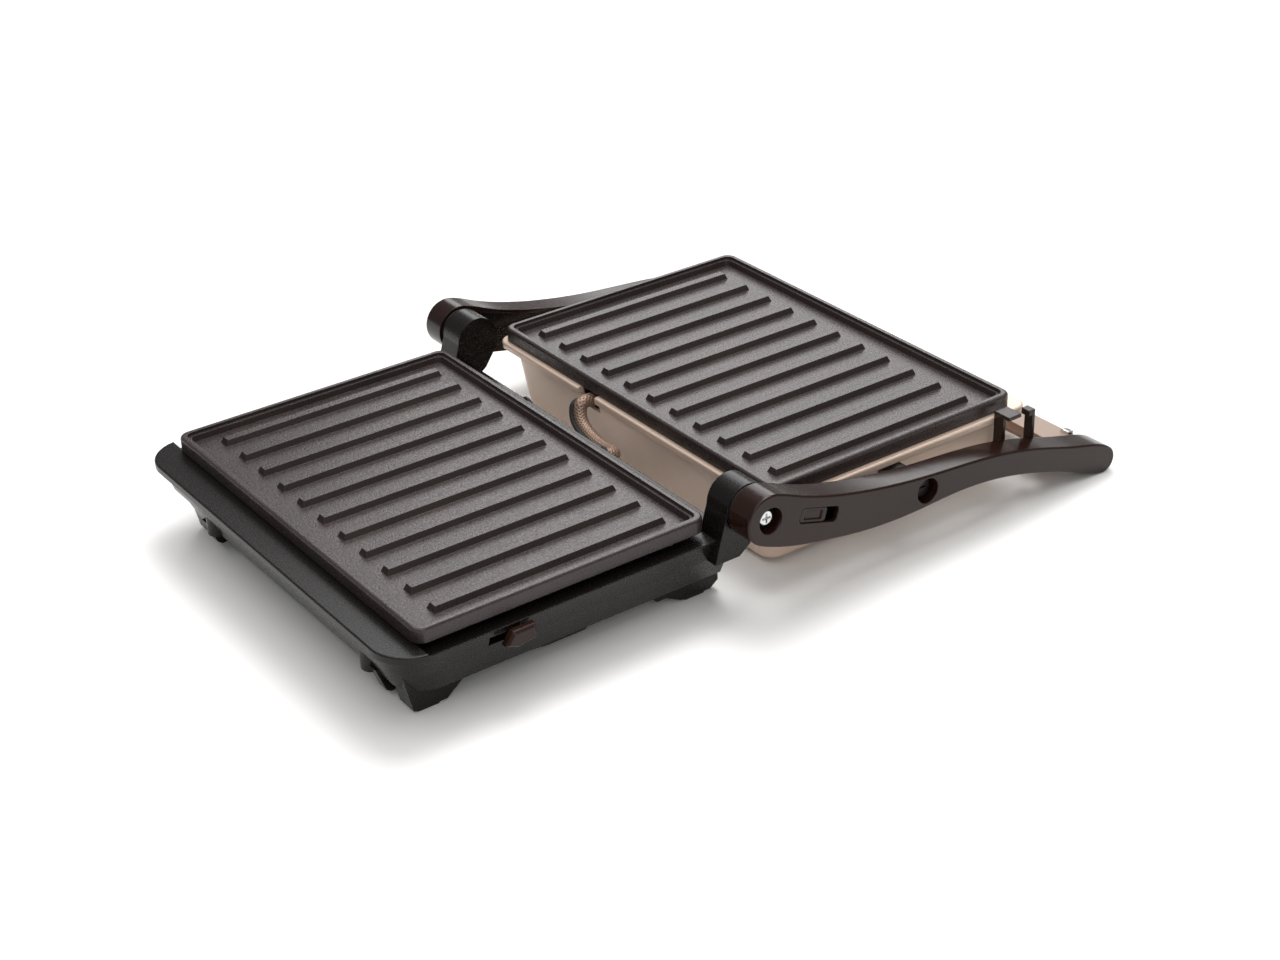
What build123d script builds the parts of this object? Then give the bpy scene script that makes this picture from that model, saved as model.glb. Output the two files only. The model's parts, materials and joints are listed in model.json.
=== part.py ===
from build123d import *
import math
import os

# Contact grill with two ribbed plates, opened flat: the base lies towards -Y, the lid towards +Y.
# Millimetres. X is the width, Y the depth, Z up from the table.
# The model is drawn with the arm hinge over y = 0 and is moved at the end, so that the origin is
# the middle of the footprint.

# grill plates
plate_width = 230.0
plate_depth = 155.4
plate_corner = 6.0
plate_rim_width = 4.4
plate_rim_height = 4.7
plate_skirt = 2.7
plate_core_inset = 7.0
plate_core_depth = 2.0
rib_count = 11
rib_pitch = 19.6
rib_base = 6.8
rib_top = 4.4
rib_height = 3.0
rib_margin_hinge = 13.5
rib_margin_front = 17.3
stud_radius = 4.2
stud_length = 5.0
stud_inset = 19.0

# heaters and sheet parts
element_radius = 3.3
element_bedding = 0.9
element_fit = 0.15
element_reach = 78.0
shield_thickness = 0.8
shield_depth = 8.0
strap_width = 12.0
strap_thickness = 1.5
screw_radius = 1.9
screw_head = 3.4
thermostat_radius = 8.0
thermostat_height = 7.2
fuse_radius = 2.2
fuse_setback = 10.2

# hinge of the arms
hinge_z = 51.5
hinge_sleeve_radius = 4.6
hinge_sleeve_grip = 8.0
hinge_screw_head = 4.2
running_fit = 0.05
moving_gap = 0.3

# base
base_plate_gap = 17.4
base_floor_z = 44.5
ledge_side = 5.2
lip_side = 8.0
tower_side = 7.9
lip_length = 17.7
lip_overlap = 1.4
lip_z = 41.5
ledge_z = 38.2
housing_bottom_z = 27.0
housing_draft = 18.0
housing_wall = 2.4
housing_front_wall = 12.0
cover_post_radius = 4.0
cover_post_sink = 1.0
base_rear_y = -5.0
lip_corner = 20.0
deck_gap = 2.5
belly_z = 12.0
belly_draft = 25.0
tower_radius = 12.0
tower_width = 15.4
foot_pad_height = 1.6
rail_inner = 92.0
rail_width = 12.0
rail_front_overlap = 0.7
rail_arch_front = 31.0
rail_arch_rear = 40.0
fin_inner = 79.0
fin_width = 6.0
# middle of the rail's underside: share of the way from the front arch to the rear arch, height
rail_middle = [(0.084, 12.2), (0.116, 15), (0.199, 15), (0.251, 9.5), (0.428, 7.5), (0.636, 7.5),
               (0.688, 11.5)]
gland_x = -55.0
gland_radius = 5.0
gland_bore = 3.3
gland_z = 32.4

# lid
lid_plate_gap = 20.6
lid_floor_z = 46.0
lid_flange_side = 3.0
lid_flange_hinge = 2.6
lid_flange_front = 9.3
lid_flange_thickness = 3.6
lid_flange_gap = 0.3
lid_corner = 8.0
lid_bottom_z = 1.6
lid_wall = 2.0
lid_draft = 10.0
lid_shoulder_side = 6.5
lid_shoulder_hinge = 2.4
lid_shoulder_front = 5.0
lid_bottom_corner = 9.0
lid_bottom_round = 5.0
notch_width = 15.0
notch_x = -33.5
notch_depth = 10.0
lamp_radius = 4.0
lamp_pitch = 16.0
lamp_setback = 32.0
lamp_post_radius = 1.5
lamp_post_gap = 1.0

# arms
arm_width = 14.5
arm_gap = 2.2
arm_wall = 2.6
arm_cover = 2.0
arm_hinge_radius = 12.9
arm_tip_y = 227.0
arm_tip_radius = 7.4
arm_end_steepening = 1.25
arm_edge_round = 1.0
recess_radius = 6.6
recess_depth = 7.0
pocket_start = 13.5
pocket_end = 203.0
# heights over the straight line from the hinge axis down to the table at the tip
arm_top_rise = [(17, 10.957), (41, 8.402), (66, 8.674), (91, 10.745), (117, 14.344), (144, 17.57),
                (172, 17.922), (201, 15.901)]
arm_bottom_rise = [(200, 0.474), (172, 3.922), (146, 4.023), (118, 0.071), (90, -7.281),
                   (60, -13.088), (29, -15.321), (8, -15.085)]

# lid pivots
pivot_y = 96.6
pivot_z = 33.0
pivot_pin_radius = 3.5
pivot_boss_radius = 5.6
pivot_eye_radius = 8.5

# handle
handle_inner_y = 189.0
handle_outer_y = 216.5
handle_plate_thickness = 2.2
handle_wall = 2.2
handle_recess = 0.4
handle_end_block = 14.0
handle_facets = 14
handle_screw_inset = 6.0
handle_screw_y = 212.5
handle_screw_length = 7.0

# release slide in the right arm
window_length = 23.6
window_height = 7.8
window_y = 28.6
window_rise = -0.611
window_slope = -16.5
release_end_gap = 0.6
release_travel = 6.4

# storage lock on the right side of the base
lock_setback = 27.8
lock_z = 32.3
lock_stem = 6.0
lock_travel = 10.0

# latch bracket on the right arm
latch_y = 159.8
latch_pitch = 20.4
latch_reach = 6.4
latch_leg = 1.8
latch_hook_length = 8.2
latch_hook_overlap = 4.1
latch_left_height = 14.0
latch_right_height = 15.5
latch_root = 12.0

# braided wire sleeve between the base and the lid
wire_sleeve_radius = 3.3
sleeve_entry_x = 13.5
sleeve_entry_z = 32.6

half_plate = plate_width / 2
arm_top = [(y, hinge_z * (1 - y / arm_tip_y) + rise) for y, rise in arm_top_rise]
arm_bottom = [(y, hinge_z * (1 - y / arm_tip_y) + rise) for y, rise in arm_bottom_rise]
ledge_half = half_plate + ledge_side
lip_half = half_plate + lip_side
tower_outer = half_plate + tower_side
tower_inner = tower_outer - tower_width
arm_inner = tower_outer + arm_gap
arm_outer = arm_inner + arm_width
handle_screw_x = arm_inner - handle_screw_inset
window_z = hinge_z * (1 - window_y / arm_tip_y) + window_rise
release_length = window_length - release_travel - 2 * release_end_gap
plate_bottom = plate_skirt + plate_core_depth
base_plate_y = -base_plate_gap
base_front_y = base_plate_y - plate_depth - lip_length + lip_overlap
lip_rear_y = base_front_y + lip_length
rail_front_y = base_front_y + lip_length - rail_front_overlap
lock_y = base_plate_y - plate_depth + stud_inset + lock_setback
lid_near_y = lid_plate_gap - lid_flange_hinge
lid_far_y = lid_plate_gap + plate_depth + lid_flange_front
lid_half = half_plate + lid_flange_side
lamp_y = lid_far_y - lamp_setback
lid_flange_z = lid_floor_z - plate_skirt - lid_flange_gap
rib_length = plate_depth - rib_margin_hinge - rib_margin_front
element_z = -plate_bottom - element_radius + element_bedding
element_rows = (plate_depth * 0.28, plate_depth * 0.72)
element_span = element_rows[1] - element_rows[0]
stud_end = -plate_bottom - stud_length
stud_rows = (stud_inset, plate_depth - stud_inset)
stud_x = half_plate - stud_inset
strap_hole = stud_x + stud_radius + screw_head + 0.6
strap_reach = strap_hole + 3.6

nodes = {}


def box(x0, x1, y0, y1, z0, z1):
    """Block between two corners."""
    return Pos((x0 + x1) / 2, (y0 + y1) / 2, (z0 + z1) / 2) * Box(x1 - x0, y1 - y0, z1 - z0)


def rounded_slab(half_x, y0, y1, z0, z1, radius, draft=0.0):
    """Rounded rectangle from z0 to z1, widening upwards by the draft angle."""
    plan = RectangleRounded(2 * half_x, y1 - y0, radius)
    return Pos(0, (y0 + y1) / 2, z0) * extrude(plan, z1 - z0, taper=-draft)


def x_rod(radius, x0, x1, y, z):
    """Round bar along X."""
    return Pos((x0 + x1) / 2, y, z) * Rot(0, 90, 0) * Cylinder(radius, abs(x1 - x0))


def y_rod(radius, x, y0, y1, z):
    """Round bar along Y."""
    return Pos(x, (y0 + y1) / 2, z) * Rot(90, 0, 0) * Cylinder(radius, abs(y1 - y0))


def z_rod(radius, x, y, z0, z1):
    """Round bar along Z."""
    return Pos(x, y, (z0 + z1) / 2) * Cylinder(radius, abs(z1 - z0))


def side_slab(face, x0, x1):
    """Face drawn in (y, z), made a slab from x0 to x1."""
    return Plane.YZ.offset(x0).location * extrude(face, x1 - x0)


def polygon(*points):
    """Closed face from its corner points."""
    return make_face(Polyline(*points, close=True))


def flat_edges(shape, z):
    """Edges that lie wholly at height z."""
    return shape.edges().filter_by(lambda e: abs(e.bounding_box().min.Z - z) < 0.01
                                   and abs(e.bounding_box().max.Z - z) < 0.01)


def group(*shapes):
    """Separate solids that share one node."""
    return Compound([solid for shape in shapes for solid in shape.solids()])


def on_both_sides(shape):
    """The shape and its mirror image across the middle of the grill."""
    return group(shape, mirror(shape, about=Plane.YZ))


def in_base(shape):
    """From a plate's own frame to the base, where the depth runs towards -Y."""
    return Pos(0, base_plate_y, base_floor_z) * mirror(shape, about=Plane.XZ)


def in_lid(shape):
    """From a plate's own frame to the lid."""
    return Pos(0, lid_plate_gap, lid_floor_z) * shape


# Parts under a grill plate, drawn in the plate's own frame: the food floor is z = 0 and the edge
# by the hinge is y = 0.

def grill_plate():
    """Ribbed tray with a stepped rim, a stiffer core below and four screw studs."""
    tray = rounded_slab(half_plate, 0, plate_depth, -plate_skirt, plate_rim_height, plate_corner)
    tray = fillet(flat_edges(tray, plate_rim_height), 1.6)
    inset = plate_core_inset
    tray += rounded_slab(half_plate - inset, inset, plate_depth - inset, -plate_bottom,
                         -plate_skirt + 0.5, plate_corner)
    step = plate_rim_width - 1.2
    tray -= rounded_slab(half_plate - step, step, plate_depth - step, plate_rim_height - 1.6,
                         plate_rim_height + 1, plate_corner - 2)
    foot = plate_rim_width + 1.0
    tray -= rounded_slab(half_plate - foot, foot, plate_depth - foot, 0, plate_rim_height,
                         plate_corner - 3, draft=12)
    for i in range(rib_count):
        tray += Pos((i - (rib_count - 1) / 2) * rib_pitch, 0, 0) * grill_rib()
    for x in (-stud_x, stud_x):
        for y in stud_rows:
            tray += z_rod(stud_radius, x, y, stud_end, -plate_skirt)
            tray -= z_rod(screw_radius, x, y, stud_end - 1, -plate_bottom)
    for y in element_rows:
        tray -= x_rod(element_radius + element_fit, -element_reach - 5, element_reach + 12, y, element_z)
    middle = sum(element_rows) / 2
    half_span = element_span / 2 + element_radius + element_fit
    tray -= box(-element_reach - 5, -element_reach + element_span / 2, middle - half_span,
                middle + half_span, -plate_bottom - 1, -plate_bottom + element_bedding + element_fit)
    return tray


def grill_rib():
    """One rib with sloping sides and ends."""
    slope = math.degrees(math.atan2((rib_base - rib_top) / 2, rib_height))
    plan = Rectangle(rib_base, rib_length)
    return Pos(0, rib_margin_hinge + rib_length / 2, 0) * extrude(plan, rib_height, taper=slope)


def heating_element():
    """Hairpin tube heater: a round return bend at -X and two cold pins at +X."""
    low, high = element_rows
    reach = element_reach
    route = FilletPolyline((reach, low, 0), (-reach, low, 0), (-reach, high, 0), (reach, high, 0),
                           radius=element_span / 2 * 0.98)
    tube = sweep(Plane(origin=route @ 0, z_dir=route % 0) * Circle(element_radius), path=route)
    for y in element_rows:
        tube += x_rod(element_radius * 0.6, reach - 1, reach + 9, y, 0)
    return Pos(0, 0, element_z) * tube


def heat_shield():
    """Folded sheet pan under the heater."""
    half_x = element_reach + 14
    low = stud_rows[0] + strap_width
    high = stud_rows[1] - strap_width
    top = -plate_bottom - 0.6
    floor = top - shield_depth
    sheet = shield_thickness
    pan = rounded_slab(half_x, low, high, floor, top, 5)
    pan -= rounded_slab(half_x - sheet, low + sheet, high - sheet, floor + sheet, top + 1, 5 - sheet)
    return pan


def mount_straps():
    """Two sheet straps that carry the plate by its studs."""
    bars = []
    for y in stud_rows:
        bar = box(-strap_reach, strap_reach, y - strap_width / 2, y + strap_width / 2,
                  stud_end - strap_thickness, stud_end)
        for x in (-strap_hole, -stud_x, stud_x, strap_hole):
            bar -= z_rod(screw_radius + 0.3, x, y, stud_end - 5, stud_end + 5)
        bars.append(bar)
    return group(*bars)


def pan_screw(length):
    """Pan-head screw, head down, thread pointing up from z = 0."""
    head = fillet(Cylinder(screw_head, 2.2).edges().group_by(Axis.Z)[0], 0.8)
    cross = Box(3.6, 0.9, 1.4) + Box(0.9, 3.6, 1.4)
    head = Pos(0, 0, -1.1) * (head - Pos(0, 0, -1.1) * cross)
    return head + Pos(0, 0, length / 2) * Cylinder(screw_radius - 0.02, length)


def plate_screws():
    """Four screws that hold the plate to the straps."""
    z = stud_end - strap_thickness
    return group(*[Pos(x, y, z) * pan_screw(strap_thickness + stud_length - 0.6)
                   for x in (-stud_x, stud_x) for y in stud_rows])


def strap_screws():
    """Four screws that hold the straps' ends to the lugs of the casing, heads up."""
    screw = Rot(180, 0, 0) * pan_screw(strap_thickness + 2.6)
    return group(*[Pos(x, y, stud_end) * screw for x in (-strap_hole, strap_hole) for y in stud_rows])


def strap_lugs(depth, reach):
    """Lugs under the straps' ends, which reach out into the casing's side wall."""
    lugs = []
    top = stud_end - strap_thickness
    for y in stud_rows:
        lug = box(strap_hole - 4, reach, y - 5, y + 5, top - depth, top)
        lug -= z_rod(screw_radius, strap_hole, y, top - depth + 1, top + 1)
        lugs.append(lug)
    return on_both_sides(group(*lugs))


def thermostat():
    """Disc thermostat under the middle of the plate, with two blade terminals."""
    y = plate_depth / 2
    top = -plate_bottom
    body = z_rod(thermostat_radius, 0, y, top - thermostat_height + 2, top)
    for x in (-4, 4):
        body += box(x - 1.6, x + 1.6, y - 0.4, y + 0.4, top - thermostat_height, top - 3)
    return body


def thermal_fuse():
    """Small axial fuse clamped under the plate."""
    y = element_rows[1] - fuse_setback
    z = -plate_bottom - fuse_radius - 0.8
    fuse = x_rod(fuse_radius, -6, 6, y, z) + x_rod(0.6, -14, 14, y, z)
    clip = box(-3, 3, y - 4, y + 4, z - fuse_radius - 1, -plate_bottom)
    clip -= x_rod(fuse_radius, -10, 10, y, z)
    return group(fuse, clip)


# Base

def base_plan(half_x, y0, y1, corner):
    """Plan of the base with two round front corners."""
    plan = Pos(0, (y0 + y1) / 2) * Rectangle(2 * half_x, y1 - y0)
    return fillet(plan.vertices().sort_by(Axis.Y)[:2], corner)


def base_housing():
    """Upper casing of the base: deck, front lip and drafted skirt, cut out for the hinge towers."""
    run = (ledge_z - housing_bottom_z) * math.tan(math.radians(housing_draft))
    low_plan = base_plan(ledge_half - run, base_front_y + 2.6 + run, base_rear_y + 30, lip_corner - run)
    body = Pos(0, 0, housing_bottom_z) * extrude(low_plan, ledge_z - housing_bottom_z,
                                                 taper=-housing_draft)
    lip_plan = base_plan(lip_half, base_front_y, base_rear_y, lip_corner)
    lip = Pos(0, 0, ledge_z - 0.3) * extrude(lip_plan, lip_z - ledge_z + 0.3)
    lip -= box(-200, 200, lip_rear_y, base_rear_y + 10, 0, 80)
    body += fillet(flat_edges(lip, lip_z), 0.8)
    body -= box(-200, 200, base_rear_y, base_rear_y + 60, 0, 80)
    inner = ledge_half - run - housing_wall
    body -= box(-inner, inner, base_front_y + housing_front_wall, base_rear_y - housing_wall, 0,
                ledge_z - housing_wall)
    inset = plate_core_inset - deck_gap
    body -= box(-half_plate + inset, half_plate - inset, base_plate_y - plate_depth + inset,
                base_plate_y - inset, 0, 80)
    body += in_base(strap_lugs(4.0, ledge_half - run - 0.5))
    for tower in on_both_sides(tower_block()).solids():
        body -= tower
    body -= y_rod(gland_radius, gland_x, base_rear_y - 10, base_rear_y + 10, gland_z)
    body -= y_rod(wire_sleeve_radius + 1.6, sleeve_entry_x, base_rear_y - 10, base_rear_y + 10,
                  sleeve_entry_z)
    body -= lock_slot()
    for x, y in cover_screw_places():
        post = z_rod(cover_post_radius, x, y, housing_bottom_z, ledge_z - housing_wall + 0.5)
        body += post - z_rod(screw_radius, x, y, housing_bottom_z - 1, housing_bottom_z + 7)
    return body


def tower_block():
    """Outside shape of the upright post at +X."""
    side = polygon((-tower_radius, hinge_z), (tower_radius, hinge_z), (11.0, 44.0), (4.0, 34.0),
                   (base_rear_y, housing_bottom_z), (-19, housing_bottom_z), (-16, ledge_z))
    side += Pos(0, hinge_z) * Circle(tower_radius)
    return side_slab(side, tower_inner, tower_outer)


def hinge_tower():
    """Upright post at +X that carries the arm hinge, bored for its sleeve and screw."""
    tower = tower_block()
    tower -= x_rod(hinge_sleeve_radius, tower_outer - hinge_sleeve_grip, tower_outer + 5, 0, hinge_z)
    tower -= x_rod(screw_radius, tower_inner + 3, tower_outer, 0, hinge_z)
    return tower


def lock_slot():
    """Slot in the right side wall that the lock slide travels in."""
    half = lock_stem / 2 + moving_gap
    return box(ledge_half - 9, ledge_half + 5, lock_y - half - lock_travel, lock_y + half,
               lock_z - 2.4, lock_z + 2.4)


def cover_screw_places():
    """Four corners where the bottom cover is screwed to the housing."""
    x = half_plate - 40
    front = base_front_y + housing_front_wall + cover_post_radius - cover_post_sink
    return [(sx * x, y) for sx in (-1, 1) for y in (front, base_rear_y - 7)]


def belly_block(inset, z0):
    """Drafted block of the bottom cover, moved in by inset and starting at z0."""
    run = (housing_bottom_z - z0) * math.tan(math.radians(belly_draft))
    wall = (ledge_z - housing_bottom_z) * math.tan(math.radians(housing_draft))
    half_x = ledge_half - wall - 1.0 - inset - run
    front = base_front_y + 2.6 + wall + 1.0 + inset + run
    plan = base_plan(half_x, front, base_rear_y + 30, lip_corner - wall)
    block = Pos(0, 0, z0) * extrude(plan, housing_bottom_z - z0, taper=-belly_draft)
    return block - box(-200, 200, base_rear_y - 0.5 - inset, base_rear_y + 80, 0, 80)


def base_bottom_cover():
    """Belly pan with two side rails, whose ends are the four feet."""
    cover = belly_block(0, belly_z)
    rail = side_slab(rail_profile(), rail_inner, rail_inner + rail_width)
    fin = side_slab(fin_profile(), fin_inner, fin_inner + fin_width)
    cover += on_both_sides(group(rail + fin))
    cover -= belly_block(housing_wall, belly_z + housing_wall)
    for x, y in cover_screw_places():
        cover += z_rod(5.5, x, y, belly_z, housing_bottom_z)
        cover -= z_rod(3.8, x, y, 0, housing_bottom_z - 3)
        cover -= z_rod(screw_radius + 0.2, x, y, 0, housing_bottom_z + 1)
    return cover


def rail_profile():
    """Side view of a rail: front foot, arch, middle hump, rear foot."""
    foot = foot_pad_height
    front = rail_front_y
    rear = base_rear_y
    start = front + rail_arch_front
    end = rear - rail_arch_rear
    middle = [(start + share * (end - start), z) for share, z in rail_middle]
    return polygon((front - 3, 20), (front + 1, foot), (front + 18, foot), (start, 12), *middle,
                   (end, 11), (rear - 34, 6), (rear - 29, 6.2), (rear - 20, foot), (rear - 3, foot),
                   (rear + 1.5, 5), (rear + 1.5, 15), (rear - 2, 18))


def fin_profile():
    """Side view of the short fin inside each front foot."""
    y = rail_front_y
    return polygon((y - 6, 16), (y - 1.5, 4), (y + 1, 2.4), (y + 4, 3), (y + 9, 14))


def rubber_feet():
    """Four pads under the ends of the rails."""
    middle = rail_inner + rail_width / 2
    pads = []
    for y in (base_front_y + 26, -16.5):
        pad = Pos(middle, y, foot_pad_height / 2) * Box(rail_width - 2, 13, foot_pad_height)
        pads.append(fillet(pad.edges().filter_by(Axis.Z), 2.0))
    return on_both_sides(group(*pads))


def bottom_screws():
    """Four screws from below, sunk in the bottom cover."""
    z = housing_bottom_z - 3
    return group(*[Pos(x, y, z) * pan_screw(9) for x, y in cover_screw_places()])


def ring_bush(radius, bore, x, y0, y1, z, flange):
    """Bush along Y with a flange at its outer end y1."""
    bush = y_rod(radius, x, y0, y1, z) + y_rod(radius + flange, x, y1, y1 + 1.4, z)
    return bush - y_rod(bore, x, y0 - 1, y1 + 3, z)


def hinge_sleeves():
    """Flanged steel sleeves, fixed in the towers, that the arms turn on."""
    end = arm_outer - recess_depth + moving_gap
    sleeve = x_rod(hinge_sleeve_radius, tower_outer - hinge_sleeve_grip, end, 0, hinge_z)
    sleeve += x_rod(recess_radius - 0.6, end, end + 0.9, 0, hinge_z)
    sleeve -= x_rod(screw_radius + 0.1, 0, end + 5, 0, hinge_z)
    return on_both_sides(sleeve)


def hinge_washers():
    """Nylon washers between the towers and the arms."""
    washer = x_rod(tower_radius - 0.6, tower_outer, arm_inner - moving_gap, 0, hinge_z)
    washer -= x_rod(hinge_sleeve_radius + running_fit, 0, arm_outer, 0, hinge_z)
    return on_both_sides(washer)


def hinge_screws():
    """Bright cross-head screws in the ends of the hinge sleeves."""
    seat = arm_outer - recess_depth + moving_gap + 0.9
    head = x_rod(hinge_screw_head, seat, seat + 2.6, 0, hinge_z)
    head = fillet(head.edges().sort_by(Axis.X)[-1], 1.2)
    cross = box(seat + 1.2, seat + 4, -2.4, 2.4, hinge_z - 0.5, hinge_z + 0.5)
    cross += box(seat + 1.2, seat + 4, -0.5, 0.5, hinge_z - 2.4, hinge_z + 2.4)
    shank = x_rod(screw_radius - 0.05, tower_inner + 4, seat, 0, hinge_z)
    return on_both_sides(head - cross + shank)


def lock_slider():
    """Storage lock: a wedge-shaped thumb piece on a stem through the side wall."""
    y, z = lock_y, lock_z
    wedge = polygon((y - 8.5, z - 2), (y - 4, z + 4.2), (y + 7.6, z + 4.2), (y + 7.8, z - 3.2), (y - 2, z - 4.6))
    knob = side_slab(wedge, ledge_half + moving_gap, ledge_half + 4.4)
    knob = chamfer(knob.faces().sort_by(Axis.X)[-1].edges(), 1.2)
    stem = box(ledge_half - 8.2, ledge_half + 1, y - lock_stem / 2, y + lock_stem / 2, z - 2.1, z + 2.1)
    keeper = box(ledge_half - 8.2, ledge_half - 6.4, y - 6, y + 6, z - 3.1, z + 3.1)
    return knob + stem + keeper


# Lid

def lid_block(inset, z0, z1):
    """Drafted pan of the lid, moved in by inset, from z0 up to z1."""
    seat_z = lid_flange_z - lid_flange_thickness
    slope = math.tan(math.radians(lid_draft))
    run = (seat_z - z0) * slope
    return rounded_slab(lid_half - lid_shoulder_side - run - inset,
                        lid_near_y + lid_shoulder_hinge + run + inset,
                        lid_far_y - lid_shoulder_front - run - inset,
                        z0, z1, lid_bottom_corner - inset, draft=lid_draft)


def lid_cover():
    """Champagne pan with a flat flange, open towards the plate."""
    seat_z = lid_flange_z - lid_flange_thickness
    pan = lid_block(0, lid_bottom_z, seat_z + 1)
    pan = fillet(flat_edges(pan, lid_bottom_z), lid_bottom_round)
    flange = rounded_slab(lid_half, lid_near_y, lid_far_y, seat_z, lid_flange_z, lid_corner)
    flange = fillet(flat_edges(flange, lid_flange_z), 1.2)
    floor = lid_bottom_z + lid_wall
    hollow = lid_block(lid_wall, floor, lid_flange_z + 1)
    hollow = fillet(flat_edges(hollow, floor), lid_bottom_round - lid_wall)
    cover = pan + flange - hollow
    lugs = in_lid(strap_lugs(4.0, lid_half)) & lid_block(lid_wall / 2, floor, lid_flange_z)
    for lug in lugs.solids():
        cover += lug
    cover -= box(notch_x - notch_width / 2, notch_x + notch_width / 2, lid_near_y - 1,
                 lid_near_y + 8, lid_flange_z - notch_depth, lid_flange_z + 1)
    cover -= x_rod(pivot_boss_radius + 0.1, -lid_half, lid_half, pivot_y, pivot_z)
    for x in (-lamp_pitch / 2, lamp_pitch / 2):
        cover -= z_rod(lamp_radius + 0.1, x, lamp_y, lid_bottom_z - 1, floor + 1)
    return cover


def lid_pivot_bosses():
    """Bosses through the lid's side walls, with a backing flange inside."""
    inner = lid_half - lid_shoulder_side - lid_wall - 7.0
    boss = x_rod(pivot_boss_radius, inner, arm_inner - moving_gap, pivot_y, pivot_z)
    boss -= x_rod(pivot_pin_radius, inner + 3, arm_outer, pivot_y, pivot_z)
    flange = box(inner - 2, inner, pivot_y - 12, pivot_y + 12, pivot_z - 9, pivot_z + 5)
    return on_both_sides(boss + flange)


def pivot_pins():
    """Shoulder screws that join the arms to the lid's bosses."""
    inner = lid_half - lid_shoulder_side - lid_wall - 4.0
    seat = arm_outer - recess_depth + moving_gap
    pin = x_rod(pivot_pin_radius, inner, seat, pivot_y, pivot_z)
    head = x_rod(recess_radius - 1.4, seat, seat + 2.2, pivot_y, pivot_z)
    head -= box(seat + 1.2, seat + 4, pivot_y - 2.6, pivot_y + 2.6, pivot_z - 0.5, pivot_z + 0.5)
    return on_both_sides(pin + head)


def indicator_lenses():
    """Power and ready lenses in the lid's outer face."""
    lenses = []
    for x in (-lamp_pitch / 2, lamp_pitch / 2):
        lens = z_rod(lamp_radius, x, lamp_y, lid_bottom_z - 0.6, lid_bottom_z + lid_wall + 1)
        lenses.append(fillet(flat_edges(lens, lid_bottom_z - 0.6), 0.5))
    return group(*lenses)


def lamp_board():
    """Small lamp board behind the lenses."""
    top = lid_bottom_z + lid_wall + 1
    post_x = lamp_pitch / 2 + lamp_radius + lamp_post_gap + lamp_post_radius
    half = post_x + lamp_post_radius + lamp_post_gap
    board = box(-half, half, lamp_y - 8, lamp_y + 8, top + 1, top + 2.6)
    for x in (-lamp_pitch / 2, lamp_pitch / 2):
        board += z_rod(2.5, x, lamp_y, top, top + 1.2)
    for x in (-post_x, post_x):
        board += z_rod(lamp_post_radius, x, lamp_y, top - 1, top + 1.2)
    return board


def sleeve_clip():
    """Clip inside the lid's notch that holds the wire sleeve."""
    inside, over = (Vector(*p) for p in sleeve_route()[:2])
    run = (over - inside).normalized()
    bore = Plane(origin=inside - run * 10, z_dir=run) * Circle(wire_sleeve_radius + 0.1)
    x, y, z = inside
    clip = box(x - 6, x + 6, y - 3.5, y + 0.5, z - 5.5, z + 4.0)
    return clip - extrude(bore, 30, dir=run)


def sleeve_route():
    """Points of the braided sleeve, from the lid's clip to the base's rear wall."""
    return [(notch_x + 0.5, 29.5, 35.6), (notch_x - 0.5, 15.5, 41.0), (-31.0, 11.5, 31.5),
            (-22.0, 10.5, 26.5), (-7.0, 8.5, 25.5), (7.0, 6.5, 28.5),
            (sleeve_entry_x, base_rear_y + 6, sleeve_entry_z),
            (sleeve_entry_x, base_rear_y - 4, sleeve_entry_z)]


def bend_radii(points):
    """Largest arc at each corner that its two runs leave room for."""
    radii = []
    for a, b, c in zip(points, points[1:], points[2:]):
        a, b, c = Vector(*a), Vector(*b), Vector(*c)
        turn = math.radians((b - a).get_angle(c - b))
        radii.append(0.45 * min((b - a).length, (c - b).length) / math.tan(turn / 2))
    return radii


def wire_sleeve():
    """Braided sleeve, plain outside shape."""
    points = sleeve_route()
    radii = bend_radii(points)
    print("wire sleeve bends:", [round(r, 1) for r in radii])
    route = FilletPolyline(*points, radius=radii)
    tube = sweep(Plane(origin=route @ 0, z_dir=route % 0) * Circle(wire_sleeve_radius), path=route)
    print("wire sleeve length", round(route.length, 1), "volume over section times length",
          round(tube.volume / (math.pi * wire_sleeve_radius ** 2 * route.length), 4))
    return tube


# Arms

def curve_height(points, y):
    """Height of a polyline of (y, z) points at y."""
    points = sorted(points)
    if y > points[-1][0]:
        (y0, z0), (y1, z1) = points[-2:]
        return z1 + (z1 - z0) * (y - y1) / (y1 - y0) * arm_end_steepening
    (y0, z0), (y1, z1) = points[:2]
    for start, end in zip(points, points[1:]):
        if start[0] <= y <= end[0]:
            (y0, z0), (y1, z1) = start, end
    return z0 + (z1 - z0) * (y - y0) / (y1 - y0)


def arm_face():
    """Side view of an arm: round hinge end, long sweep down, round tip on the table."""
    eye = (0, hinge_z)
    tip = (arm_tip_y - arm_tip_radius, arm_tip_radius)
    top = Spline(rim_point(eye, arm_hinge_radius, 75), *arm_top, rim_point(tip, arm_tip_radius, 50),
                 tangents=[rim_heading(75), rim_heading(50)])
    tip_arc = ThreePointArc(top @ 1, rim_point(tip, arm_tip_radius, -20),
                            rim_point(tip, arm_tip_radius, -100))
    bottom = Spline(tip_arc @ 1, *arm_bottom, rim_point(eye, arm_hinge_radius, -115),
                    tangents=[rim_heading(-100), rim_heading(-115)])
    eye_arc = ThreePointArc(bottom @ 1, rim_point(eye, arm_hinge_radius, 180), top @ 0)
    return make_face([top, tip_arc, bottom, eye_arc])


def rim_point(centre, radius, degrees):
    """Point on a circle, the angle measured from +Y towards +Z."""
    angle = math.radians(degrees)
    return centre[0] + radius * math.cos(angle), centre[1] + radius * math.sin(angle)


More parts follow.
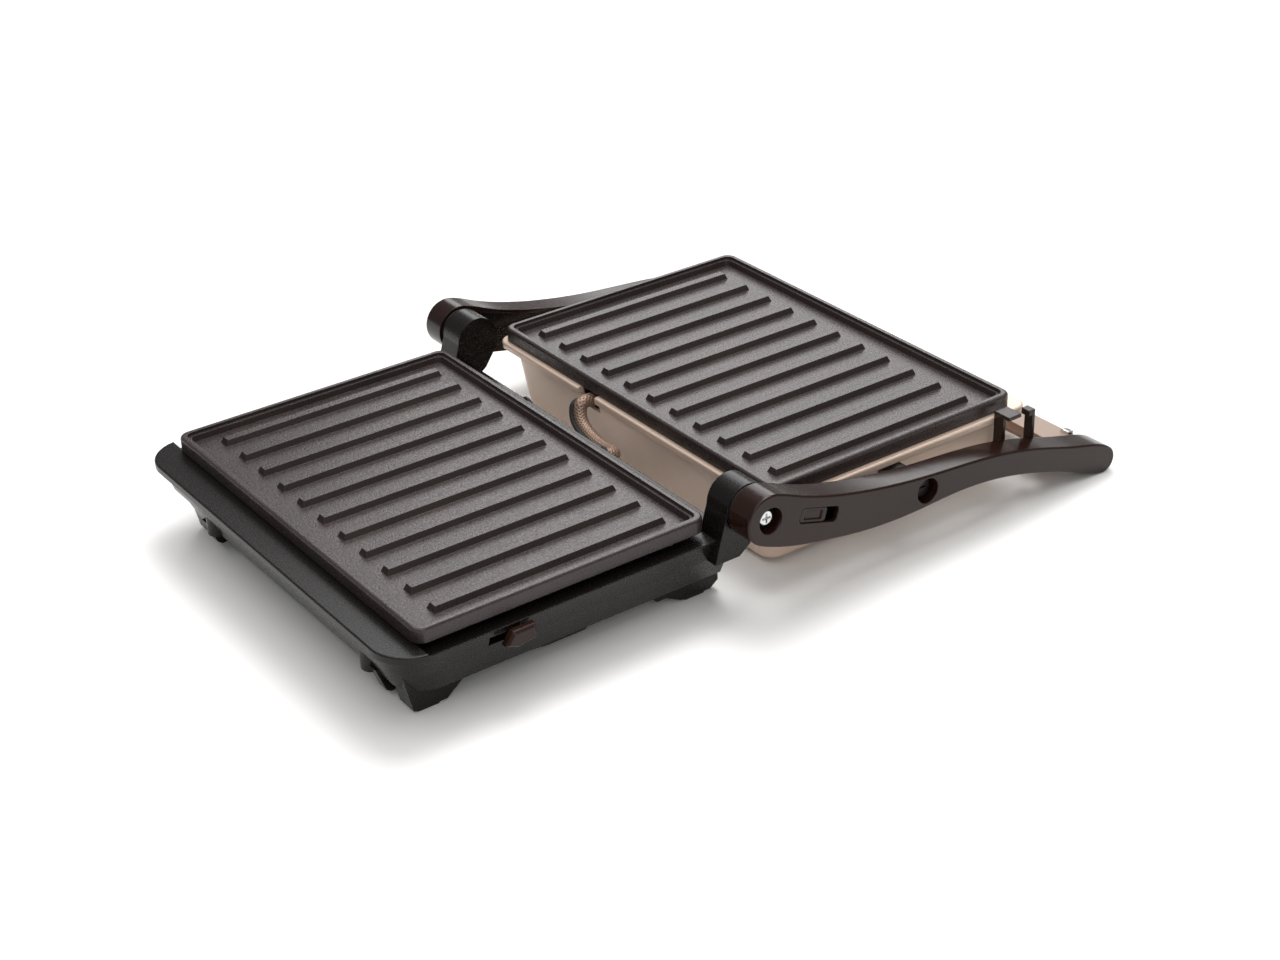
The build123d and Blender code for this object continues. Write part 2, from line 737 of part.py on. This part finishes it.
def rim_heading(degrees):
    """Heading of a clockwise walk round the circle at that angle."""
    angle = math.radians(degrees)
    return math.sin(angle), -math.cos(angle)


def pocket_face(wall, y0, y1):
    """Side view of the arm's hollow, a wall inside its outline."""
    steps = 7
    ys = [y0 + (y1 - y0) * i / steps for i in range(steps + 1)]
    top = [(y, curve_height(arm_top, y) - wall) for y in ys]
    bottom = [(y, curve_height(arm_bottom, y) + wall) for y in reversed(ys)]
    return polygon(*top, *bottom)


def arm_shell():
    """Right arm: outer shell, open on its inner side, with the hinge and pivot eyes."""
    shell = side_slab(arm_face(), arm_inner, arm_outer)
    shell = fillet(shell.faces().sort_by(Axis.X)[-1].edges(), arm_edge_round)
    shell -= side_slab(pocket_face(arm_wall, pocket_start, pocket_end), arm_inner - 1,
                       arm_outer - arm_wall)
    eye = x_rod(pivot_eye_radius, arm_inner, arm_outer - 1.5, pivot_y, pivot_z)
    shell += eye & side_slab(arm_face(), arm_inner, arm_outer)
    shell -= x_rod(pivot_pin_radius + running_fit, 0, arm_outer + 5, pivot_y, pivot_z)
    shell -= x_rod(hinge_sleeve_radius + running_fit, 0, arm_outer + 5, 0, hinge_z)
    for y, z in ((0, hinge_z), (pivot_y, pivot_z)):
        shell -= x_rod(recess_radius, arm_outer - recess_depth, arm_outer + 5, y, z)
    return shell


def release_window():
    """Slanted opening in the right arm's outer wall."""
    plan = Pos(window_y, window_z) * Rot(0, 0, window_slope) * RectangleRounded(
        window_length, window_height, 2.0)
    return side_slab(plan, arm_outer - arm_wall - 1, arm_outer + 2)


def arm_cover_plate():
    """Plate that closes the hollow of the right arm from the inside."""
    gap = 0.15
    plate = side_slab(pocket_face(arm_wall + gap, pocket_start + gap, pocket_end - gap), arm_inner,
                      arm_inner + arm_cover)
    plate -= x_rod(pivot_eye_radius + gap, 0, arm_outer, pivot_y, pivot_z)
    return plate


def release_axis():
    """Unit direction in (y, z) that the release slides along."""
    angle = math.radians(window_slope)
    return math.cos(angle), math.sin(angle)


def release_slider():
    """Hinge release: a thumb piece in the window and a wider keeper behind the wall."""
    dy, dz = release_axis()
    back = -(window_length - release_length) / 2 + release_end_gap
    place = Pos(window_y + back * dy, window_z + back * dz) * Rot(0, 0, window_slope)
    thumb = side_slab(place * RectangleRounded(release_length, window_height - 0.6, 1.6),
                      arm_outer - arm_wall - 1, arm_outer - 0.5)
    grip = side_slab(place * Rectangle(release_length - 5, window_height - 3.4),
                     arm_outer - 1.3, arm_outer + 1)
    keeper = side_slab(place * Rectangle(release_length + 3, window_height + 1.6),
                       arm_outer - arm_wall - moving_gap - 2.2, arm_outer - arm_wall - moving_gap)
    return thumb - grip + keeper


def handle_top(y):
    """Height of the handle's flat top at y, just under the arms' top edges."""
    return curve_height(arm_top, y) - handle_recess


def handle_belly():
    """Underside of the handle in side view, from its outer to its inner edge."""
    in_y = handle_inner_y
    out_y = handle_outer_y
    top_in = handle_top(in_y)
    top_out = handle_top(out_y)
    return Spline((out_y, top_out), (out_y + 2.0, top_out - 3.5), (out_y - 3.5, top_out - 8.0),
                  (in_y + 14, top_in - 15.5), (in_y + 4, top_in - 9.5), (in_y, top_in - 4.0))


def handle_face():
    """Side view of the handle bar: flat face on top, round belly below."""
    inner_edge = (handle_inner_y, handle_top(handle_inner_y))
    outer_edge = (handle_outer_y, handle_top(handle_outer_y))
    belly = handle_belly()
    return make_face([belly, Line(belly @ 1, inner_edge), Line(inner_edge, outer_edge)])


def handle_hollow():
    """Space inside the handle, open through the seam on top."""
    belly = handle_belly()
    rim = [belly @ (i / handle_facets) for i in range(handle_facets + 1)]
    rise = handle_wall + handle_plate_thickness
    outline = polygon(*[(p.X, p.Y) for p in rim],
                      (handle_inner_y, handle_top(handle_inner_y) + rise),
                      (handle_outer_y, handle_top(handle_outer_y) + rise))
    half = arm_inner - handle_end_block
    return side_slab(offset(outline, -handle_wall, kind=Kind.INTERSECTION), -half, half)


def handle_top_cut():
    """Slab above the seam between the handle's face plate and its grip."""
    in_y = handle_inner_y - 5
    out_y = handle_outer_y + 8
    t = handle_plate_thickness
    return side_slab(polygon((in_y, handle_top(in_y) - t),
                             (out_y, handle_top(out_y) - t), (out_y, 60), (in_y, 60)),
                     -arm_inner - 5, arm_inner + 5)


def handle_bar():
    """Solid outside shape of the handle between the arms."""
    return side_slab(handle_face(), -arm_inner, arm_inner)


def handle_screw_seats():
    """Places on the sloping top face for the two handle screws, with Z square to the face."""
    rise = handle_top(handle_outer_y) - handle_top(handle_inner_y)
    run = handle_outer_y - handle_inner_y
    z = handle_top(handle_inner_y) + rise * (handle_screw_y - handle_inner_y) / run
    tilt = math.degrees(math.atan2(rise, run))
    return [Pos(x, handle_screw_y, z) * Rot(tilt, 0, 0) for x in (-handle_screw_x, handle_screw_x)]


def handle_screw_bores():
    """Bores for the handle screws through the face plate and into the grip's end blocks."""
    bore = Cylinder(screw_radius + running_fit, 2 * handle_screw_length + 1)
    return group(*[seat * bore for seat in handle_screw_seats()])


def handle_grip():
    """Hollow lower shell of the handle."""
    return handle_bar() - handle_top_cut() - handle_hollow() - handle_screw_bores()


def handle_face_plate():
    """Flat upper strip of the handle."""
    return (handle_bar() & handle_top_cut()) - handle_screw_bores()


def handle_screws():
    """Two bright pan-head screws through the face plate."""
    return group(*[seat * Rot(180, 0, 0) * pan_screw(handle_screw_length)
                   for seat in handle_screw_seats()])


def latch_bracket():
    """Keeper on the right arm's inner face: two legs, one with a flat hook plate."""
    x1 = arm_inner
    x0 = arm_inner - latch_reach
    y0 = latch_y
    y1 = latch_y + latch_pitch
    top0 = curve_height(arm_top, y0) + latch_left_height
    top1 = curve_height(arm_top, y1) + latch_right_height
    strip = box(x1 - latch_leg, x1, y0 - 1, y1 + 3, curve_height(arm_bottom, y1) + 6,
                curve_height(arm_top, y1) - 3)
    left = box(x0, x1, y0, y0 + latch_leg, curve_height(arm_top, y0) - latch_root, top0)
    plate = box(x0, x1 + latch_hook_overlap, y0, y0 + latch_hook_length, top0 - latch_leg, top0)
    right = box(x0 + 1, x1, y1, y1 + latch_leg, curve_height(arm_top, y1) - latch_root, top1)
    head = box(x0 + 1, x1, y1 - 2.4, y1 + latch_leg, top1 - 3.2, top1)
    return strip + left + plate + right + head


# Assembly

def build_base():
    """Nodes of the base."""
    nodes["base_housing"] = base_housing()
    nodes["base_hinge_towers"] = on_both_sides(hinge_tower())
    nodes["base_bottom_cover"] = base_bottom_cover()
    nodes["base_grill_plate"] = in_base(grill_plate())
    nodes["base_heating_element"] = in_base(heating_element())
    nodes["base_heat_shield"] = in_base(heat_shield())
    nodes["base_mount_straps"] = in_base(mount_straps())
    nodes["base_plate_screws"] = in_base(plate_screws())
    nodes["base_strap_screws"] = in_base(strap_screws())
    nodes["base_thermostat"] = in_base(thermostat())
    nodes["base_thermal_fuse"] = in_base(thermal_fuse())
    nodes["rubber_feet"] = rubber_feet()
    nodes["bottom_screws"] = bottom_screws()
    nodes["cord_gland"] = ring_bush(gland_radius, gland_bore, gland_x, base_rear_y - 4, base_rear_y,
                                    gland_z, 1.4)
    nodes["base_sleeve_grommet"] = ring_bush(wire_sleeve_radius + 1.6, wire_sleeve_radius + 0.1,
                                             sleeve_entry_x, base_rear_y - 4, base_rear_y,
                                             sleeve_entry_z, 0.9)
    nodes["hinge_sleeves"] = hinge_sleeves()
    nodes["hinge_washers"] = hinge_washers()
    nodes["hinge_screws"] = hinge_screws()
    nodes["wire_sleeve"] = wire_sleeve()
    nodes["lock_slider"] = lock_slider()


def build_lid():
    """Nodes of the lid."""
    nodes["lid_cover"] = lid_cover()
    nodes["lid_grill_plate"] = in_lid(grill_plate())
    nodes["lid_heating_element"] = in_lid(heating_element())
    nodes["lid_heat_shield"] = in_lid(heat_shield())
    nodes["lid_mount_straps"] = in_lid(mount_straps())
    nodes["lid_plate_screws"] = in_lid(plate_screws())
    nodes["lid_strap_screws"] = in_lid(strap_screws())
    nodes["lid_thermal_fuse"] = in_lid(thermal_fuse())
    nodes["lid_pivot_bosses"] = lid_pivot_bosses()
    nodes["lid_pivot_pins"] = pivot_pins()
    nodes["indicator_lenses"] = indicator_lenses()
    nodes["lamp_board"] = lamp_board()
    nodes["lid_sleeve_clip"] = sleeve_clip()


def build_arms():
    """Nodes of the two arms and the handle between them."""
    shell = arm_shell()
    nodes["right_arm"] = shell - release_window()
    nodes["left_arm"] = mirror(shell, about=Plane.YZ)
    nodes["right_arm_inner_covers"] = arm_cover_plate()
    nodes["left_arm_inner_covers"] = mirror(arm_cover_plate(), about=Plane.YZ)
    nodes["handle_grip"] = handle_grip()
    nodes["handle_face_plate"] = handle_face_plate()
    nodes["handle_screws"] = handle_screws()
    nodes["latch_bracket"] = latch_bracket()
    nodes["release_slider"] = release_slider()


build_base()
build_lid()
build_arms()

# the footprint's middle comes to the origin
extent = group(*nodes.values()).bounding_box()
shift = (-(extent.min.X + extent.max.X) / 2, -(extent.min.Y + extent.max.Y) / 2, -extent.min.Z)
os.makedirs("parts", exist_ok=True)
for name, shape in nodes.items():
    moved = [Pos(*shift) * solid for solid in shape.solids()]
    export_step(moved[0] if len(moved) == 1 else Compound(moved), f"parts/{name}.step")
print("moved by", [round(v, 3) for v in shift], "size", extent.size)
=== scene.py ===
# Panini press opened flat: materials, braided sleeve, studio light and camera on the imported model.
import json
import math

import bpy
import numpy as np
from mathutils import Matrix, Vector


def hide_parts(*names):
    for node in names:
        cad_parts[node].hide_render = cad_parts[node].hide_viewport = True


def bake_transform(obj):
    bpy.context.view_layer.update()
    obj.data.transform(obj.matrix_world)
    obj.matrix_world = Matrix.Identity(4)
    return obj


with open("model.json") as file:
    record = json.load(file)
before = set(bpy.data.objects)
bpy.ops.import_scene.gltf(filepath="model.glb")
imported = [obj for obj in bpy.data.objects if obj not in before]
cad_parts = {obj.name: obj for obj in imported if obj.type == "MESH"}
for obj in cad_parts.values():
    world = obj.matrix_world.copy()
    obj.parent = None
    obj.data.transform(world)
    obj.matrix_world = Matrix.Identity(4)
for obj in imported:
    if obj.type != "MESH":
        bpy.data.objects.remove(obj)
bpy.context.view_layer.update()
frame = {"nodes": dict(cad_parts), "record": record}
cadNodes = frame["nodes"]
scene = bpy.context.scene
print("stage: packed model loaded,", len(cadNodes), "nodes")


def linearColour(hexText):
    # sRGB hex to linear: below 0.04045 divide by 12.92, above it the 2.4 power curve
    srgb = np.array([int(hexText[i:i + 2], 16) for i in (1, 3, 5)]) / 255.0
    linear = np.where(srgb <= 0.04045, srgb / 12.92, ((srgb + 0.055) / 1.055) ** 2.4)
    return (*linear.tolist(), 1.0)


def addNode(tree, kind, settings=None, links=None):
    # settings: an input's name or number, or a property of the node; links: input to an output socket
    node = tree.nodes.new(kind)
    for key, value in (settings or {}).items():
        if isinstance(key, int) or key in node.inputs:
            node.inputs[key].default_value = value
        else:
            setattr(node, key, value)
    for key, socket in (links or {}).items():
        tree.links.new(socket, node.inputs[key])
    return node


def newMaterial(name):
    material = bpy.data.materials.new(name)
    material.use_nodes = True
    material.node_tree.nodes.clear()
    return material, material.node_tree


noiseLow, noiseHigh = 0.3, 0.7  # the part of a noise that is spread over the whole range


def surfaceMaterial(name, look):
    # two tones mixed by slow noise, a fine grain that moves roughness and bump, softened edges
    material, tree = newMaterial(name)
    place = addNode(tree, "ShaderNodeTexCoord")
    slow = addNode(tree, "ShaderNodeTexNoise", {"Scale": look["toneScale"], "Detail": 4.0},
                   {"Vector": place.outputs["Object"]})
    grain = addNode(tree, "ShaderNodeTexNoise", {"Scale": look["grainScale"], "Detail": 3.0},
                    {"Vector": place.outputs["Object"]})
    tone = addNode(tree, "ShaderNodeValToRGB", {}, {"Fac": slow.outputs["Fac"]})
    tone.color_ramp.elements[0].position = noiseLow
    tone.color_ramp.elements[1].position = noiseHigh
    tone.color_ramp.elements[0].color = linearColour(look["dark"])
    tone.color_ramp.elements[1].color = linearColour(look["light"])
    rough = addNode(tree, "ShaderNodeMapRange",
                    {"From Min": noiseLow, "From Max": noiseHigh,
                     "To Min": look["roughness"] - look["roughSpread"],
                     "To Max": look["roughness"] + look["roughSpread"]},
                    {"Value": grain.outputs["Fac"]})
    edge = addNode(tree, "ShaderNodeBevel", {"samples": 4, "Radius": look["edgeRadius"]})
    bump = addNode(tree, "ShaderNodeBump", {"Strength": look["bump"], "Distance": look["bumpHeight"]},
                   {"Height": grain.outputs["Fac"], "Normal": edge.outputs["Normal"]})
    shader = addNode(tree, "ShaderNodeBsdfPrincipled",
                     {"Metallic": look["metallic"], "Specular IOR Level": look.get("specular", 0.5),
                      "Transmission Weight": look.get("transmission", 0.0)},
                     {"Base Color": tone.outputs["Color"], "Roughness": rough.outputs["Result"],
                      "Normal": bump.outputs["Normal"]})
    addNode(tree, "ShaderNodeOutputMaterial", {}, {"Surface": shader.outputs["BSDF"]})
    return material


# grain sizes: noise scale is about 1 / (2 x grain in metres)
finishes = {
    # die-cast aluminium under a PTFE coat with mica: warm dark grey, satin, 0.5 mm orange peel
    "non-stick coated die-cast aluminium": {
        "slots": ["nonstick"], "dark": "#2e2625", "light": "#382f2d", "toneScale": 22.0,
        "grainScale": 1000.0, "roughness": 0.33, "roughSpread": 0.12, "metallic": 0.10,
        "bump": 0.60, "bumpHeight": 0.0002, "edgeRadius": 0.0004},
    # moulded shell under champagne pearl lacquer: warm pale beige, soft metallic sheen
    "champagne pearl lacquer on moulded shell": {
        "slots": ["champagne"], "dark": "#dcc3b1", "light": "#e4cdbb", "toneScale": 6.0,
        "grainScale": 1400.0, "roughness": 0.36, "roughSpread": 0.06, "metallic": 0.25,
        "bump": 0.10, "bumpHeight": 0.0001, "edgeRadius": 0.0008},
    # the same lacquer on the moulded handle, a little glossier, its colours painted darker than the
    # shell's as painted shade
    "champagne pearl lacquer on ABS": {
        "slots": ["champagne_bar"], "dark": "#ab9181", "light": "#b79d8c", "toneScale": 8.0,
        "grainScale": 1400.0, "roughness": 0.32, "roughSpread": 0.05, "metallic": 0.45,
        "bump": 0.08, "bumpHeight": 0.0001, "edgeRadius": 0.0008},
    # ABS moulded in a spark-eroded tool: satin black with 0.4 mm texture
    "satin black moulded ABS": {
        "slots": ["black_abs"], "dark": "#0e0b0a", "light": "#120e0d", "toneScale": 14.0,
        "grainScale": 1250.0, "roughness": 0.28, "roughSpread": 0.06, "metallic": 0.0, "specular": 0.28,
        "bump": 0.18, "bumpHeight": 0.0001, "edgeRadius": 0.0007},
    # ABS moulded in a polished tool: deep brown-black that mirrors the room
    "polished black moulded ABS": {
        "slots": ["gloss_arm", "black_abs_knob"], "dark": "#1d0f0b", "light": "#26150f",
        "toneScale": 10.0, "grainScale": 900.0, "roughness": 0.20, "roughSpread": 0.04,
        "metallic": 0.0, "specular": 0.28, "bump": 0.06, "bumpHeight": 0.0001, "edgeRadius": 0.0009},
    # bright zinc on steel screws: clean mirror with faint rolling marks
    "bright zinc plated steel": {
        "slots": ["bright_steel"], "dark": "#c9cacb", "light": "#dcdddd", "toneScale": 300.0,
        "grainScale": 2500.0, "roughness": 0.20, "roughSpread": 0.05, "metallic": 1.0,
        "bump": 0.08, "bumpHeight": 0.00005, "edgeRadius": 0.0002},
    # zinc plate dulled by handling
    "dull zinc plated steel": {
        "slots": ["screw_steel", "sheet_steel"], "dark": "#8d8f91", "light": "#a7a9ab",
        "toneScale": 90.0, "grainScale": 1800.0, "roughness": 0.42, "roughSpread": 0.08,
        "metallic": 1.0, "bump": 0.12, "bumpHeight": 0.00005, "edgeRadius": 0.0003},
    # stainless tube darkened by heat
    "heat-tinted stainless steel": {
        "slots": ["element_steel"], "dark": "#4c4743", "light": "#6f675f", "toneScale": 60.0,
        "grainScale": 1600.0, "roughness": 0.45, "roughSpread": 0.08, "metallic": 1.0,
        "bump": 0.12, "bumpHeight": 0.00005, "edgeRadius": 0.0003},
    # black oxide on turned steel
    "black oxide steel": {
        "slots": ["dark_steel"], "dark": "#1f1d1d", "light": "#2b2828", "toneScale": 80.0,
        "grainScale": 1800.0, "roughness": 0.38, "roughSpread": 0.08, "metallic": 0.8,
        "bump": 0.10, "bumpHeight": 0.00005, "edgeRadius": 0.0003},
    # nylon moulded from a fine-textured tool
    "black moulded nylon": {
        "slots": ["nylon"], "dark": "#161414", "light": "#1e1b1b", "toneScale": 40.0,
        "grainScale": 1500.0, "roughness": 0.50, "roughSpread": 0.08, "metallic": 0.0,
        "bump": 0.15, "bumpHeight": 0.0001, "edgeRadius": 0.0004},
    # soft rubber, matt with a dusty bloom
    "matt black rubber": {
        "slots": ["rubber_pads", "rubber_bush"], "dark": "#141312", "light": "#22201f",
        "toneScale": 70.0, "grainScale": 900.0, "roughness": 0.82, "roughSpread": 0.08,
        "metallic": 0.0, "bump": 0.30, "bumpHeight": 0.0002, "edgeRadius": 0.0005},
    # unglazed white ceramic
    "unglazed white ceramic": {
        "slots": ["ceramic_body"], "dark": "#d6d1c6", "light": "#e8e4da", "toneScale": 120.0,
        "grainScale": 1200.0, "roughness": 0.75, "roughSpread": 0.06, "metallic": 0.0,
        "bump": 0.25, "bumpHeight": 0.0001, "edgeRadius": 0.0003},
    # green solder resist over glass-fibre board
    "green solder resist": {
        "slots": ["circuit_board"], "dark": "#1c5a33", "light": "#246b3e", "toneScale": 90.0,
        "grainScale": 1400.0, "roughness": 0.35, "roughSpread": 0.06, "metallic": 0.0,
        "bump": 0.10, "bumpHeight": 0.0001, "edgeRadius": 0.0002},
    # tinted clear polycarbonate
    "tinted polycarbonate": {
        "slots": ["lamp_lens"], "dark": "#9c1d12", "light": "#b32a1c", "toneScale": 60.0,
        "grainScale": 600.0, "roughness": 0.12, "roughSpread": 0.03, "metallic": 0.0,
        "bump": 0.04, "bumpHeight": 0.0001, "edgeRadius": 0.0003, "transmission": 0.5},
}
materialOfSlot = {}
for finishName, look in finishes.items():
    material = surfaceMaterial(finishName, look)
    for slotName in look["slots"]:
        materialOfSlot[slotName] = material
for part in frame["record"]["subparts"]:
    if part["material_slot"] in materialOfSlot:
        mesh = cadNodes[part["node"]].data
        mesh.materials.clear()
        mesh.materials.append(materialOfSlot[part["material_slot"]])
print("stage: materials on the packed nodes")


# braided sleeve: glass and copper threads over the wires, plaited both ways
sleeve = {
    "route": [(-0.0330, 0.01055, 0.0356), (-0.0340, -0.00345, 0.0410), (-0.0310, -0.00745, 0.0315),
              (-0.0220, -0.00845, 0.0265), (-0.0070, -0.01045, 0.0255), (0.0070, -0.01245, 0.0285),
              (0.0135, -0.01795, 0.0326), (0.0135, -0.02795, 0.0326)],  # from the lid to the base
    "radius": 0.0033, "strandHeight": 0.0006, "crownPower": 0.6,
    "strands": 16, "pitch": 0.016,  # threads lie in 1.2 mm bundles, coarser than the real 0.3 mm
    "around": 128, "along": 420,
    # dark is painted shade in the gaps between strands, light is a painted highlight on their crowns
    "dark": "#100a08", "paintedShadeUpTo": 0.25, "light": "#8f7767", "paintedHighlightFrom": 0.85,
    "fibreScale": 2500.0, "fibreBump": 0.3, "fibreHeight": 0.0001,
    "metallic": 0.5, "roughness": 0.45,
}
routeSteps = 40  # points of the curve between two of the route's own


def splinePoints(route):
    # points along a NURBS spline of order 3 that has the route as its control points
    curve = bpy.data.curves.new("sleeveRoute", "CURVE")
    curve.dimensions = "3D"
    curve.resolution_u = routeSteps
    spline = curve.splines.new("NURBS")
    spline.points.add(len(route) - 1)
    spline.points.foreach_set("co", np.c_[np.array(route), np.ones(len(route))].ravel())
    spline.order_u = 3
    spline.use_endpoint_u = True
    holder = bpy.data.objects.new("sleeveRoute", curve)
    mesh = bpy.data.meshes.new_from_object(holder)
    points = np.empty(len(mesh.vertices) * 3)
    mesh.vertices.foreach_get("co", points)
    bpy.data.objects.remove(holder)
    return points.reshape(-1, 3)


def gridMesh(name, points, around, along):
    # quads between neighbouring rows and columns, wrapped around, with a fan point at each end
    rows, columns = np.meshgrid(np.arange(along - 1), np.arange(around), indexing="ij")
    here = rows * around + columns
    beside = rows * around + (columns + 1) % around
    quads = np.stack([here, beside, beside + around, here + around], -1).reshape(-1, 4)
    ring = np.arange(around)
    first = np.c_[(ring + 1) % around, ring, np.full(around, along * around)]
    last = np.c_[ring + (along - 1) * around, (ring + 1) % around + (along - 1) * around,
                 np.full(around, along * around + 1)]
    mesh = bpy.data.meshes.new(name)
    mesh.from_pydata(points.tolist(), [], quads.tolist() + first.tolist() + last.tolist())
    mesh.polygons.foreach_set("use_smooth", np.ones(len(mesh.polygons), bool))
    mesh.update()
    piece = bpy.data.objects.new(name, mesh)
    scene.collection.objects.link(piece)
    return piece


def braidedTube(name, values):
    # radius = base + strand height; a strand is a half round ridge along angle +/- turns, and the
    # two directions take turns on top where the product of their phases changes sign
    line = splinePoints(values["route"])
    length = np.r_[0, np.cumsum(np.linalg.norm(np.diff(line, axis=0), axis=1))]
    s = np.linspace(0, length[-1], values["along"])
    centre = np.stack([np.interp(s, length, line[:, i]) for i in range(3)], -1)
    tangent = np.gradient(centre, axis=0)
    tangent /= np.linalg.norm(tangent, axis=1, keepdims=True)
    flat = np.linalg.svd(centre - centre.mean(0), full_matrices=False)[2][2]
    side = np.cross(tangent, flat)
    side /= np.linalg.norm(side, axis=1, keepdims=True)
    up = np.cross(tangent, side)
    angle = np.linspace(0, 2 * math.pi, values["around"], endpoint=False)[None, :]
    turn = 2 * math.pi * s[:, None] / values["pitch"]
    phaseA = values["strands"] / 4 * (angle + turn)
    phaseB = values["strands"] / 4 * (angle - turn)
    onTop = np.sin(phaseA + phaseB) * np.sin(phaseA - phaseB) > 0
    crown = np.where(onTop, np.abs(np.sin(phaseA)), np.abs(np.sin(phaseB)))
    height = crown ** values["crownPower"]
    radius = values["radius"] + values["strandHeight"] * (height - 0.5)
    points = (centre[:, None, :] + radius[..., None] * (np.cos(angle)[..., None] * side[:, None, :]
                                                        + np.sin(angle)[..., None] * up[:, None, :]))
    allPoints = np.concatenate([points.reshape(-1, 3), centre[:1], centre[-1:]])
    piece = gridMesh(name, allPoints, values["around"], values["along"])
    heights = piece.data.attributes.new("strandHeight", "FLOAT", "POINT")
    heights.data.foreach_set("value", np.r_[height.ravel(), 0.5, 0.5].astype(np.float32))
    return piece


def braidMaterial(values):
    # tarnished copper and glass thread, with a painted highlight on the crowns of the strands and
    # painted shade in the gaps between them
    material, tree = newMaterial("braided glass and copper thread")
    strand = addNode(tree, "ShaderNodeAttribute", {"attribute_name": "strandHeight"})
    # painted shade between the strands and a painted highlight on their crowns, set by the strand
    # height
    tone = addNode(tree, "ShaderNodeValToRGB", {}, {"Fac": strand.outputs["Fac"]})
    tone.color_ramp.elements[0].position = values["paintedShadeUpTo"]
    tone.color_ramp.elements[0].color = linearColour(values["dark"])
    tone.color_ramp.elements[1].position = values["paintedHighlightFrom"]
    tone.color_ramp.elements[1].color = linearColour(values["light"])
    place = addNode(tree, "ShaderNodeTexCoord")
    fibre = addNode(tree, "ShaderNodeTexNoise", {"Scale": values["fibreScale"], "Detail": 2.0},
                    {"Vector": place.outputs["Object"]})
    bump = addNode(tree, "ShaderNodeBump",
                   {"Strength": values["fibreBump"], "Distance": values["fibreHeight"]},
                   {"Height": fibre.outputs["Fac"]})
    shader = addNode(tree, "ShaderNodeBsdfPrincipled",
                     {"Metallic": values["metallic"], "Roughness": values["roughness"]},
                     {"Base Color": tone.outputs["Color"], "Normal": bump.outputs["Normal"]})
    addNode(tree, "ShaderNodeOutputMaterial", {}, {"Surface": shader.outputs["BSDF"]})
    return material


def smoothTube(name, values):
    # the route moved by the offset, with a constant radius
    plain = {**sleeve, **values, "strandHeight": 0.0}
    plain["route"] = [tuple(np.add(point, values["offset"])) for point in values["route"]]
    return braidedTube(name, plain)


braid = braidedTube("braidedSleeve", sleeve)
braid.data.materials.append(braidMaterial(sleeve))
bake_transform(braid)
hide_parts("wire_sleeve")


# thin black tube along the inner side of the sleeve's bends, its route shifted by a fixed offset
besideTube = {
    "route": sleeve["route"], "offset": (-0.0024, -0.0036, 0.0004),
    "radius": 0.0013, "around": 24, "along": 160,
}
darkBesideTube = smoothTube("darkBesideTube", besideTube)
darkBesideTube.data.materials.append(materialOfSlot["rubber_bush"])
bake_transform(darkBesideTube)
print("stage: braided sleeve and lead")


# pale floor, far larger than the view
floorLook = {"halfSize": 4.0, "colour": "#f3f2f0", "roughness": 0.9}
half = floorLook["halfSize"]
floorMesh = bpy.data.meshes.new("floor")
floorMesh.from_pydata([(-half, -half, 0), (half, -half, 0), (half, half, 0), (-half, half, 0)], [],
                      [(0, 1, 2, 3)])
floor = bpy.data.objects.new("floor", floorMesh)
scene.collection.objects.link(floor)
floorMaterial, floorTree = newMaterial("matt white backdrop paper")
floorShader = addNode(floorTree, "ShaderNodeBsdfPrincipled",
                      {"Base Color": linearColour(floorLook["colour"]),
                       "Roughness": floorLook["roughness"]})
addNode(floorTree, "ShaderNodeOutputMaterial", {}, {"Surface": floorShader.outputs["BSDF"]})
floorMesh.materials.append(floorMaterial)


# studio: an even white room, three soft boxes aimed at the middle, and a wide ceiling light
lights = {
    "overhead": {"at": (-0.5, 0.5, 1.7), "size": 0.9, "power": 18.0},
    "rearLeft": {"at": (-1.6, 1.3, 1.2), "size": 1.2, "power": 14.0},
    "frontRight": {"at": (1.7, -0.9, 1.1), "size": 1.0, "power": 9.0},
}
room = {"colour": "#ffffff", "strength": 0.26}
ceilingLight = {"strength": 1.9, "spread": 80}  # evens the floor out to its far edge; degrees
world = bpy.data.worlds.new("whiteRoom")
world.use_nodes = True
background = world.node_tree.nodes["Background"]
background.inputs["Color"].default_value = linearColour(room["colour"])
background.inputs["Strength"].default_value = room["strength"]
scene.world = world
for lightName, values in lights.items():
    lamp = bpy.data.lights.new(lightName, "AREA")
    lamp.size = values["size"]
    lamp.energy = values["power"]
    holder = bpy.data.objects.new(lightName, lamp)
    holder.location = values["at"]
    holder.rotation_euler = (-Vector(values["at"])).to_track_quat("-Z", "Y").to_euler()
    scene.collection.objects.link(holder)
sunLamp = bpy.data.lights.new("ceiling", "SUN")
sunLamp.energy = ceilingLight["strength"]
sunLamp.angle = math.radians(ceilingLight["spread"])
ceiling = bpy.data.objects.new("ceiling", sunLamp)
scene.collection.objects.link(ceiling)
scene.view_settings.view_transform = "Standard"
print("stage: floor and lights")


view = {"at": (0.8133, -0.56655, 0.5567), "azimuth": 54.77, "elevation": 29.08, "roll": -0.032,
        "lens": 62.28, "sensorWidth": 36.0}  # degrees, but the roll in radians; lens in mm
azimuth, elevation = math.radians(view["azimuth"]), math.radians(view["elevation"])
back = Vector((math.sin(azimuth) * math.cos(elevation), -math.cos(azimuth) * math.cos(elevation),
               math.sin(elevation)))
right = Vector((math.cos(azimuth), math.sin(azimuth), 0))
up = back.cross(right)
turnedRight = math.cos(view["roll"]) * right + math.sin(view["roll"]) * up
turnedUp = -math.sin(view["roll"]) * right + math.cos(view["roll"]) * up
cameraData = bpy.data.cameras.new("camera")
cameraData.lens = view["lens"]
cameraData.sensor_width = view["sensorWidth"]
camera = bpy.data.objects.new("camera", cameraData)
camera.matrix_world = Matrix.Translation(view["at"]) @ Matrix(
    (turnedRight, turnedUp, back)).transposed().to_4x4()
scene.collection.objects.link(camera)
scene.camera = camera
print("stage: camera")
